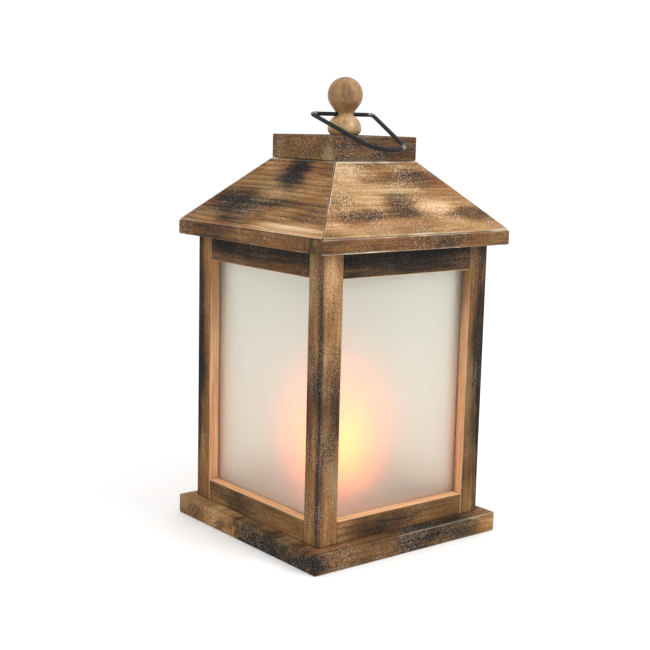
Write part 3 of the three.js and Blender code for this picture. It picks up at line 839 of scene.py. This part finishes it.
# ---------------------------------------------------------------------------------------------
# Flame lamp. A white column of light-emitting diodes stands in a collar on the housing lid,
# under a thin candle-flame diffuser that glows yellow in its middle and orange at its ends.
# ---------------------------------------------------------------------------------------------

flame_low, flame_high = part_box("flame_diffuser")
collar_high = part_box("lamp_collar")[1]
flame_tall = flame_high.z - flame_low.z
flame_foot = 0.012
flame_widest = 0.024
flame_wall = 0.0012
held = (collar_high.z - flame_low.z) / flame_tall
swell_span = 0.5
taper_start = 0.3


def flame_radius(share):
    """The shade's radius at a share of its height. It is straight where the collar holds it."""
    swell = math.sin(math.pi / 2 * min(1, max(0, share - held) / swell_span))
    taper = math.sqrt(max(0, 1 - (max(0, share - taper_start) / (1 - taper_start)) ** 2))
    return (flame_foot + (flame_widest - flame_foot) * swell) * taper


shares = [0] + [held + (1 - held) * (1 - (1 - i / 34) ** 1.5) for i in range(35)]
outside = [(flame_radius(share), flame_low.z + flame_tall * share) for share in shares]
inside = [
    (max(0.0, radius - flame_wall), height - flame_wall * share)
    for share, (radius, height) in zip(shares, outside)
]
flame = turned("flame_shade", outside + inside[::-1] + outside[:1], 48)
even_shading(flame, 60)
flame_glow, place = new_material("glowing_flame_shade")
x, y, z = place.parts()
height = (z - flame_low.z) / flame_tall
lick = place.stretched(60, 60, 22).noise(1.0, 2.0)
warmth = height + (lick - 0.5) * 0.25
glow = warmth.ramp([
    (0.0, (1.0, 0.08, 0.01, 1)),
    (0.25, (1.0, 0.13, 0.02, 1)),
    (0.55, (1.0, 0.20, 0.07, 1)),
    (1.0, (1.0, 0.24, 0.12, 1)),
])
surfaced(
    place,
    Base_Color=tint(214, 100, 50),
    Roughness=0.45,
    Emission_Color=glow,
    Emission_Strength=2.9,
    Alpha=0.5,
)
fitted(flame, flame_glow, "flame_diffuser", "lantern", "flame_diffuser")

white_plastic, place = new_material("white_moulding")
surfaced(
    place,
    Base_Color=tint(236, 232, 222),
    Roughness=0.42 + (place.noise(500, 2.0) - 0.5) * 0.2,
    Normal=bumped(place, place.noise(900, 2.0), 0.0001, 0.3),
)


def softened(node, name, width):
    """A copy of a moulded or folded CAD node with all its edges slightly rounded."""
    piece = merged_copy(node, name)
    bpy.ops.object.mode_set(mode="OBJECT")
    softening = piece.modifiers.new("softening", "BEVEL")
    softening.width = width
    softening.segments = 2
    softening.limit_method = "ANGLE"
    softening.angle_limit = math.radians(40)
    bpy.ops.object.modifier_apply(modifier="softening")
    even_shading(piece)
    return piece


lit_column, place = new_material("lit_column")
x, y, z = place.parts()
lit = z.rise(0.036, 0.054) * z.rise(0.094, 0.070)
burning = lit.ramp([(0.0, (0.55, 0.09, 0.01, 1)), (1.0, (1.0, 0.73, 0.03, 1))])
surfaced(place, Base_Color=tint(236, 214, 170), Roughness=0.4, Emission_Color=burning, Emission_Strength=14.0)
for node, finish in (("led_column", lit_column), ("lamp_collar", white_plastic)):
    piece = softened(node, node + "_moulded", 0.0002)
    fitted(piece, finish, "white_plastic", "lantern", node)

# ---------------------------------------------------------------------------------------------
# Light housing. One black moulding with a flange screwed under the base board, a pocket for
# three cells, a bay for the switch and a tray for the circuit board under a glued lid.
# ---------------------------------------------------------------------------------------------

black_plastic, place = new_material("spark_textured_black")
spark = place.noise(1500, 3.0, 0.7)
smudge = place.noise(45, 3.0)
surfaced(
    place,
    Base_Color=smudge.blend(tint(28, 28, 30), tint(44, 44, 46)),
    Roughness=0.5 + (spark - 0.5) * 0.3 + (smudge - 0.5) * 0.2,
    Normal=bumped(place, spark, 0.00015, 0.5),
)
for node, name, width in (
    ("light_housing", "moulded_housing", 0.00035),
    ("housing_lid", "moulded_lid", 0.0005),
):
    fitted(softened(node, name, width), black_plastic, "black_plastic", "lantern", node)

# ---------------------------------------------------------------------------------------------
# Battery door. A flat black moulding that hinges on two pins in the housing, with a finger
# tongue at its free edge and grip ribs beside it.
# ---------------------------------------------------------------------------------------------


def ribbed(piece, places, size):
    """Adds small rounded ribs to a piece."""
    select_only(piece)
    bpy.ops.object.mode_set(mode="EDIT")
    for middle in places:
        bpy.ops.mesh.select_all(action="DESELECT")
        bpy.ops.mesh.primitive_cube_add(size=1, location=middle, scale=size)
        bpy.ops.mesh.bevel(offset=min(size) * 0.3, segments=2)
    bpy.ops.object.mode_set(mode="OBJECT")


door_low, door_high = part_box("battery_door")
door = softened("battery_door", "moulded_door", 0.0003)
first_rib = door_high.y - 0.0045
rib_pitch = 0.0016
door_ribs = [(-0.005, first_rib - rib_pitch * i, door_low.z) for i in range(6)]
ribbed(door, door_ribs, (0.016, 0.0008, 0.0003))
fitted(door, black_plastic, "black_plastic", "door", "battery_door")

# ---------------------------------------------------------------------------------------------
# Slide switch. A folded steel case in the housing's bay, and a black knob with three grip ribs
# that reaches down through the housing's slot.
# ---------------------------------------------------------------------------------------------

steel, place = new_material("zinc_plated_steel")
bloom = place.noise(240, 4.0, 0.6)
scratch = place.stretched(300, 1800, 1800).noise(1.0, 2.0)
surfaced(
    place,
    Base_Color=bloom.rise(0.35, 0.65).blend(tint(168, 170, 172), tint(196, 194, 186)),
    Metallic=1.0,
    Roughness=0.3 + (bloom - 0.5) * 0.25 + (scratch - 0.5) * 0.15,
    Normal=bumped(place, scratch, 0.00005, 0.3),
)
fitted(softened("switch_body", "folded_switch_case", 0.0003), steel, "plated_steel", "lantern", "switch_body")
knob_low, knob_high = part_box("switch_knob")
knob_middle = (knob_low + knob_high) / 2
knob = softened("switch_knob", "ribbed_knob", 0.0002)
knob_ribs = [(knob_middle.x, knob_middle.y + 0.0012 * i, knob_low.z) for i in (-1, 0, 1)]
ribbed(knob, knob_ribs, (0.0030, 0.0005, 0.0004))
fitted(knob, black_plastic, "black_plastic", "knob", "switch_knob")

# ---------------------------------------------------------------------------------------------
# Contacts. Four stamped steel plates at the pocket's ends and three conical wire springs that
# press the cells against them.
# ---------------------------------------------------------------------------------------------


def along(axis):
    """A test for the edges that run along an axis."""
    return lambda edge: abs((edge.verts[0].co - edge.verts[1].co).normalized()[axis]) > 0.99


for node in ("left_single", "left_pair", "right_pair", "right_single"):
    plate = merged_copy("contact_plate_" + node, "stamped_plate_" + node)
    round_edges(plate, along(0), 0.0015, 4)
    fitted(plate, steel, "plated_steel", "lantern", "contact_plate_" + node)


def rounded_wire(node, name):
    """A smooth copy of a wire that the CAD gives a few flat sides."""
    piece = merged_copy(node, name)
    bpy.ops.object.mode_set(mode="OBJECT")
    smoother = piece.modifiers.new("smoother", "SUBSURF")
    smoother.levels = smoother.render_levels = 2
    bpy.ops.object.modifier_apply(modifier="smoother")
    bpy.ops.object.shade_smooth_by_angle(angle=math.radians(60))
    return piece


for order in (1, 2, 3):
    node = f"battery_spring_{order}"
    fitted(rounded_wire(node, f"wound_spring_{order}"), steel, "plated_steel", "lantern", node)

# ---------------------------------------------------------------------------------------------
# Battery cells. Three AA cells with rolled steel ends and a plain blue sleeve, with a pale band
# at the positive end. The middle one points the other way.
# ---------------------------------------------------------------------------------------------

cell_length = 0.0500
cell_outline = [
    (0, 0), (0.0050, 0), (0.0054, 0.0004), (0.0058, 0.0004), (0.0063, 0), (0.0068, 0.0003),
    (0.0070, 0.0009), (0.0070, 0.0479), (0.0068, 0.0486), (0.0063, 0.0489), (0.0046, 0.0489),
    (0.0043, 0.0486), (0.0031, 0.0486), (0.0027, 0.0489), (0.0026, 0.0496), (0.0022, cell_length),
    (0, cell_length),
]
sleeve_tones = [
    (0.0, tint(58, 84, 112)),
    (0.80, tint(64, 92, 122)),
    (0.815, tint(206, 206, 200)),
    (1.0, tint(196, 198, 196)),
]
for order, direction in ((1, 1), (2, -1), (3, 1)):
    node = f"battery_cell_{order}"
    low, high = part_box(node)
    start = low.x if direction > 0 else high.x
    axis_y, axis_z = (low.y + high.y) / 2, (low.z + high.z) / 2
    cell = turned(f"sleeved_cell_{order}", cell_outline, 40)
    cell.rotation_euler = (0, direction * math.radians(90), 0)
    cell.location = (start, axis_y, axis_z)
    bpy.ops.object.transform_apply(location=True, rotation=True, scale=True)
    even_shading(cell, 40)
    sleeve, place = new_material(f"cell_sleeve_{order}")
    x, y, z = place.parts()
    share = (x - start) * (direction / cell_length)
    from_axis = ((y - axis_y) ** 2.0 + (z - axis_z) ** 2.0) ** 0.5
    bare = from_axis.rise(0.0066, 0.0063)
    scuff = place.noise(420, 3.0)
    scuffed = share.ramp(sleeve_tones).mixed(scuff.rise(0.6, 0.75) * 0.25, tint(120, 120, 118))
    surfaced(
        place,
        Base_Color=scuffed.mixed(bare, tint(186, 186, 184)),
        Metallic=bare * 0.6 + 0.35,
        Roughness=0.32 + (scuff - 0.5) * 0.2,
    )
    fitted(cell, sleeve, "cell_sleeve", "lantern", node)

# ---------------------------------------------------------------------------------------------
# Circuit board and leads. A green board on four standoffs with a driver chip and small parts,
# and three soldered leads that come up through the housing's web.
# ---------------------------------------------------------------------------------------------

board_green, place = new_material("solder_masked_board")
x, y, z = place.parts()
lines_x, lines_y = [((way * 330).fraction() - 0.5).size().rise(0.14, 0.08) for way in (x, y)]
routes = lines_x * place.noise(95, 1.0).rise(0.5, 0.53)
routes = routes.most(lines_y * place.noise(80, 1.0).rise(0.53, 0.5))
weave = place.noise(900, 2.0)
mask = weave.blend(tint(18, 74, 40), tint(26, 92, 52))
surfaced(
    place,
    Base_Color=mask.mixed(routes * 0.6, tint(78, 148, 86)),
    Roughness=0.4 + (weave - 0.5) * 0.2,
    Normal=bumped(place, routes + weave * 0.2, 0.00004, 0.4),
)
board_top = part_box("driver_board")[1].z
drilled_board = softened("driver_board", "drilled_board", 0.0002)
fitted(drilled_board, board_green, "circuit_board", "lantern", "driver_board")
parts = [
    ("driver_chip", black_plastic, "black_plastic", (-0.0125, -0.0085), (0.0060, 0.0050, 0.0014)),
    ("smoothing_capacitor", black_plastic, "black_plastic", (0.0125, -0.0095), (0.0040, 0.0050, 0.0020)),
]
for order in range(4):
    place_on_board = (-0.0150 + 0.0032 * order, 0.0110)
    parts.append((f"resistor_{order + 1}", steel, "plated_steel", place_on_board, (0.0016, 0.0030, 0.0007)))
sunk = 0.0001
for name, finish, slot, (x, y), size in parts:
    bpy.ops.object.select_all(action="DESELECT")
    middle = (x, y, board_top + size[2] / 2 - sunk)
    bpy.ops.mesh.primitive_cube_add(size=1, location=middle, scale=size)
    part = bpy.context.object
    part.name = name
    bpy.ops.object.transform_apply(location=True, rotation=True, scale=True)
    bpy.ops.object.mode_set(mode="EDIT")
    bpy.ops.mesh.bevel(offset=0.00025, segments=2)
    bpy.ops.object.mode_set(mode="OBJECT")
    even_shading(part, 30)
    fitted(part, finish, slot, "lantern", "driver_board")

for node, name, deep, light in (
    ("lead_negative", "black_lead", tint(24, 24, 26), tint(40, 40, 42)),
    ("lead_positive", "red_lead", tint(150, 22, 20), tint(182, 36, 30)),
    ("lead_switch", "red_lead", tint(150, 22, 20), tint(182, 36, 30)),
):
    low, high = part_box(node)
    jacket, place = new_material(node + "_jacket")
    x, y, z = place.parts()
    mottle = place.noise(700, 2.0)
    tinned = z.rise(low.z + 0.0012, low.z + 0.0009)
    surfaced(
        place,
        Base_Color=mottle.blend(deep, light).mixed(tinned, tint(190, 186, 176)),
        Metallic=tinned,
        Roughness=0.45 + (mottle - 0.5) * 0.2,
    )
    fitted(rounded_wire(node, node + "_jacketed"), jacket, name, "lantern", node)

# ---------------------------------------------------------------------------------------------
# Screws. Countersunk steel wood screws with a cross recess: four through the base board into
# the posts, four in the housing's flange and one through the cap block into the finial.
# ---------------------------------------------------------------------------------------------


def wood_screw(name, head, shank, tall, pitch):
    """A screw that stands on its head at the origin, with a cross recess and thread ridges."""
    rim = 0.0004
    cone = rim + head - shank
    core = shank * 0.74
    plain = 0.0025
    ridges = []
    at = cone + 0.0035
    while at < tall - 0.004:
        ridges += [(core, at), (shank, at + pitch * 0.35), (core, at + pitch * 0.7)]
        at += pitch
    screw = turned(name, [
        (0, 0), (head - rim / 2, 0), (head, rim / 2), (head, rim), (shank, cone), (shank, cone + plain),
        *ridges, (core, tall - 0.003), (shank * 0.3, tall - 0.0006), (0, tall),
    ], 24)
    for quarter in (0, 90):
        bpy.ops.object.select_all(action="DESELECT")
        bpy.ops.mesh.primitive_cone_add(
            vertices=4, radius1=head * 0.68, radius2=head * 0.3, depth=0.0022, location=(0, 0, 0.0009))
        tool = bpy.context.object
        tool.rotation_euler = (0, 0, math.radians(45))
        bpy.ops.object.transform_apply(location=False, rotation=True, scale=False)
        tool.scale = (1, 0.17, 1)
        tool.rotation_euler = (0, 0, math.radians(quarter))
        cut_by(screw, tool)
    even_shading(screw, 30)
    return screw


screws = {
    "base_screw": (wood_screw("base_screw_pattern", 0.0039, 0.0020, 0.032, 0.0018), (1, 2, 3, 4)),
    "flange_screw": (wood_screw("flange_screw_pattern", 0.0027, 0.0014, 0.0095, 0.0011), (1, 2, 3, 4)),
    "finial_screw": (wood_screw("finial_screw_pattern", 0.0042, 0.0020, 0.022, 0.0018), (None,)),
}
for kind, (pattern, numbers) in screws.items():
    for order, number in enumerate(numbers):
        node = f"{kind}_{number}" if number else kind
        low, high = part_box(node)
        piece = bpy.data.objects.new(node + "_threaded", pattern.data.copy())
        bpy.context.scene.collection.objects.link(piece)
        select_only(piece)
        piece.location = ((low.x + high.x) / 2, (low.y + high.y) / 2, low.z)
        piece.rotation_euler = (0, 0, math.radians(37 * order + 11))
        bpy.ops.object.transform_apply(location=True, rotation=True, scale=True)
        fitted(piece, steel, "plated_steel", "lantern", node)
    bpy.data.objects.remove(pattern)
